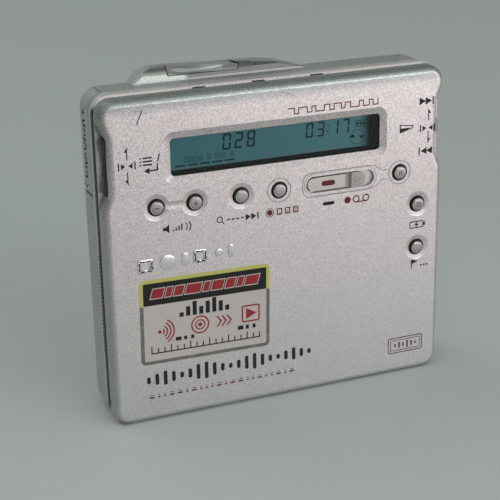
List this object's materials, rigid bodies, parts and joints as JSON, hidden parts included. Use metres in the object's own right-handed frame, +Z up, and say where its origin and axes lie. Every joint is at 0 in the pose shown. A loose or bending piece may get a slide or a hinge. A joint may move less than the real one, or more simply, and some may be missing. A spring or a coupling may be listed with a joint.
{
  "type": "portable minidisc recorder",
  "caption": "Pocket minidisc recorder with a hinged lid, display, push buttons, side levers, tilting disc holder, battery door and a drive deck inside.",
  "frame": {"origin": "middle of the body on the surface it stands on, under its hinge edge", "axes": "+Z up from the hinge edge to the edge with the release slider, +X to the right seen from the lid, +Y from the lid to the back"},
  "size_m": [0.079, 0.0176, 0.0754],
  "materials": {
    "lid_paint": "metallic paint with fine flake, satin",
    "case_paint": "metallic paint, satin",
    "button_metal": "satin turned caps",
    "bright_metal": "polished",
    "lever_plastic": "matte",
    "inlay_red": "gloss",
    "lamp_dark": "smoked lens",
    "window_clear": "clear moulding",
    "display": "blue-green display glass",
    "board": "solder mask",
    "black_plastic": "moulded",
    "sheet_steel": "rolled sheet",
    "cast_metal": "die cast",
    "screw_metal": "bright plated",
    "rubber": "matte",
    "battery_jacket": "printed sleeve"
  },
  "bodies": {
    "case": {"mid_frame": "case_paint", "rear_case": "case_paint", "hinge_pins": "bright_metal", "case_screws": "screw_metal", "battery_door_pin": "bright_metal", "battery": "battery_jacket", "battery_terminals": "black_plastic", "deck_plate": "sheet_steel", "deck_dampers": "rubber", "deck_screws": "screw_metal", "spindle_motor": "cast_metal", "guide_rod": "bright_metal", "rod_brackets": "lever_plastic", "screw_bearings": "lever_plastic", "sled_motor": "cast_metal", "main_board": "board", "board_chips": "black_plastic", "audio_jacks": "black_plastic", "dc_jack": "black_plastic"},
    "lid": {"lid_panel": "lid_paint", "lid_frame": "sheet_steel", "lid_side_screws": "screw_metal", "lcd_window": "window_clear", "lcd_panel": "display", "lid_board": "board", "dome_switches": "sheet_steel", "rec_lamp": "lamp_dark"},
    "holder": {"disc_holder": "sheet_steel"},
    "door": {"battery_door": "case_paint"},
    "release": {"open_slider": "bright_metal", "latch_bar": "bright_metal"},
    "hold_switch": {"hold_slider": "lever_plastic"},
    "turntable": {"turntable": "bright_metal"},
    "sled": {"sled": "cast_metal", "pickup_lens": "window_clear"},
    "head_arm": {"head_arm": "sheet_steel", "magnetic_head": "black_plastic"},
    "lead_screw": {"lead_screw": "bright_metal"},
    "pinion": {"motor_pinion": "bright_metal"},
    "rec_switch": {"rec_slider": "bright_metal", "rec_slider_inlay": "inlay_red"},
    "jog_carriage": {"jog_carriage": "lever_plastic"},
    "jog_lever": {"jog_lever": "lever_plastic"},
    "play_carriage": {"play_carriage": "lever_plastic"},
    "play_lever": {"play_lever": "lever_plastic"},
    "volume_down_button": {"volume_down_button": "button_metal"},
    "volume_up_button": {"volume_up_button": "button_metal"},
    "end_search_button": {"end_search_button": "button_metal"},
    "rec_mode_button": {"rec_mode_button": "button_metal"},
    "pause_button": {"pause_button": "button_metal"},
    "stop_button": {"stop_button": "button_metal"},
    "track_mark_button": {"track_mark_button": "button_metal"}
  },
  "joints": [
    {"name": "lid_hinge", "type": "hinge", "parent": "case", "child": "lid", "pos_m": [0, -0.0052, 0.002], "axis": [1, 0, 0], "range_deg": [0, 40]},
    {"name": "holder_tilt", "type": "hinge", "parent": "case", "child": "holder", "pos_m": [0, -0.0052, 0.002], "axis": [1, 0, 0], "range_deg": [-1, 21]},
    {"name": "door_hinge", "type": "hinge", "parent": "case", "child": "door", "pos_m": [-0.0386, 0.002, 0.0511], "axis": [0, -1, 0], "range_deg": [0, 90]},
    {"name": "open_slide", "type": "slide", "parent": "case", "child": "release", "axis": [1, 0, 0], "range_m": [0, 0.0022], "stiffness_N_per_m": 150},
    {"name": "hold_slide", "type": "slide", "parent": "case", "child": "hold_switch", "axis": [0, 0, 1], "range_m": [0, 0.002]},
    {"name": "spindle_spin", "type": "hinge", "parent": "case", "child": "turntable", "pos_m": [0, 0, 0.0365], "axis": [0, 1, 0], "continuous": true},
    {"name": "sled_slide", "type": "slide", "parent": "case", "child": "sled", "axis": [-1, 0, 0], "range_m": [0, 0.015]},
    {"name": "head_lift", "type": "hinge", "parent": "sled", "child": "head_arm", "pos_m": [-0.015, -0.0052, 0.002], "axis": [1, 0, 0], "range_deg": [-1, 31]},
    {"name": "screw_spin", "type": "hinge", "parent": "case", "child": "lead_screw", "pos_m": [-0.02, 0.0054, 0.0249], "axis": [1, 0, 0], "range_deg": [-1, 1801]},
    {"name": "pinion_spin", "type": "hinge", "parent": "case", "child": "pinion", "pos_m": [-0.006, 0.0054, 0.0219], "axis": [1, 0, 0], "range_deg": [-3601, 1]},
    {"name": "rec_slide", "type": "slide", "parent": "lid", "child": "rec_switch", "axis": [1, 0, 0], "range_m": [0, 0.0022], "stiffness_N_per_m": 100},
    {"name": "jog_push", "type": "slide", "parent": "lid", "child": "jog_carriage", "axis": [1, 0, 0], "range_m": [0, 0.0005], "stiffness_N_per_m": 300},
    {"name": "jog_turn", "type": "hinge", "parent": "jog_carriage", "child": "jog_lever", "pos_m": [-0.0358, -0.0062, 0.0582], "axis": [0, 1, 0], "range_deg": [-6, 6], "stiffness_Nm_per_rad": 0.002},
    {"name": "play_push", "type": "slide", "parent": "lid", "child": "play_carriage", "axis": [-1, 0, 0], "range_m": [0, 0.0005], "stiffness_N_per_m": 300},
    {"name": "play_turn", "type": "hinge", "parent": "play_carriage", "child": "play_lever", "pos_m": [0.0358, -0.0062, 0.0582], "axis": [0, 1, 0], "range_deg": [-6, 6], "stiffness_Nm_per_rad": 0.002},
    {"name": "volume_down_button_press", "type": "slide", "parent": "lid", "child": "volume_down_button", "axis": [0, 1, 0], "range_m": [0, 0.0004], "stiffness_N_per_m": 300},
    {"name": "volume_up_button_press", "type": "slide", "parent": "lid", "child": "volume_up_button", "axis": [0, 1, 0], "range_m": [0, 0.0004], "stiffness_N_per_m": 300},
    {"name": "end_search_button_press", "type": "slide", "parent": "lid", "child": "end_search_button", "axis": [0, 1, 0], "range_m": [0, 0.0004], "stiffness_N_per_m": 300},
    {"name": "rec_mode_button_press", "type": "slide", "parent": "lid", "child": "rec_mode_button", "axis": [0, 1, 0], "range_m": [0, 0.0004], "stiffness_N_per_m": 300},
    {"name": "pause_button_press", "type": "slide", "parent": "lid", "child": "pause_button", "axis": [0, 1, 0], "range_m": [0, 0.0004], "stiffness_N_per_m": 300},
    {"name": "stop_button_press", "type": "slide", "parent": "lid", "child": "stop_button", "axis": [0, 1, 0], "range_m": [0, 0.0004], "stiffness_N_per_m": 300},
    {"name": "track_mark_button_press", "type": "slide", "parent": "lid", "child": "track_mark_button", "axis": [0, 1, 0], "range_m": [0, 0.0004], "stiffness_N_per_m": 300}
  ],
  "couplings": [
    {"joint": "holder_tilt", "follows": "lid_hinge", "ratio": 0.5},
    {"joint": "head_lift", "follows": "lid_hinge", "ratio": 0.75},
    {"joint": "screw_spin", "follows": "sled_slide", "rad_per_m": 2094.4},
    {"joint": "pinion_spin", "follows": "sled_slide", "rad_per_m": -4188.8}
  ]
}
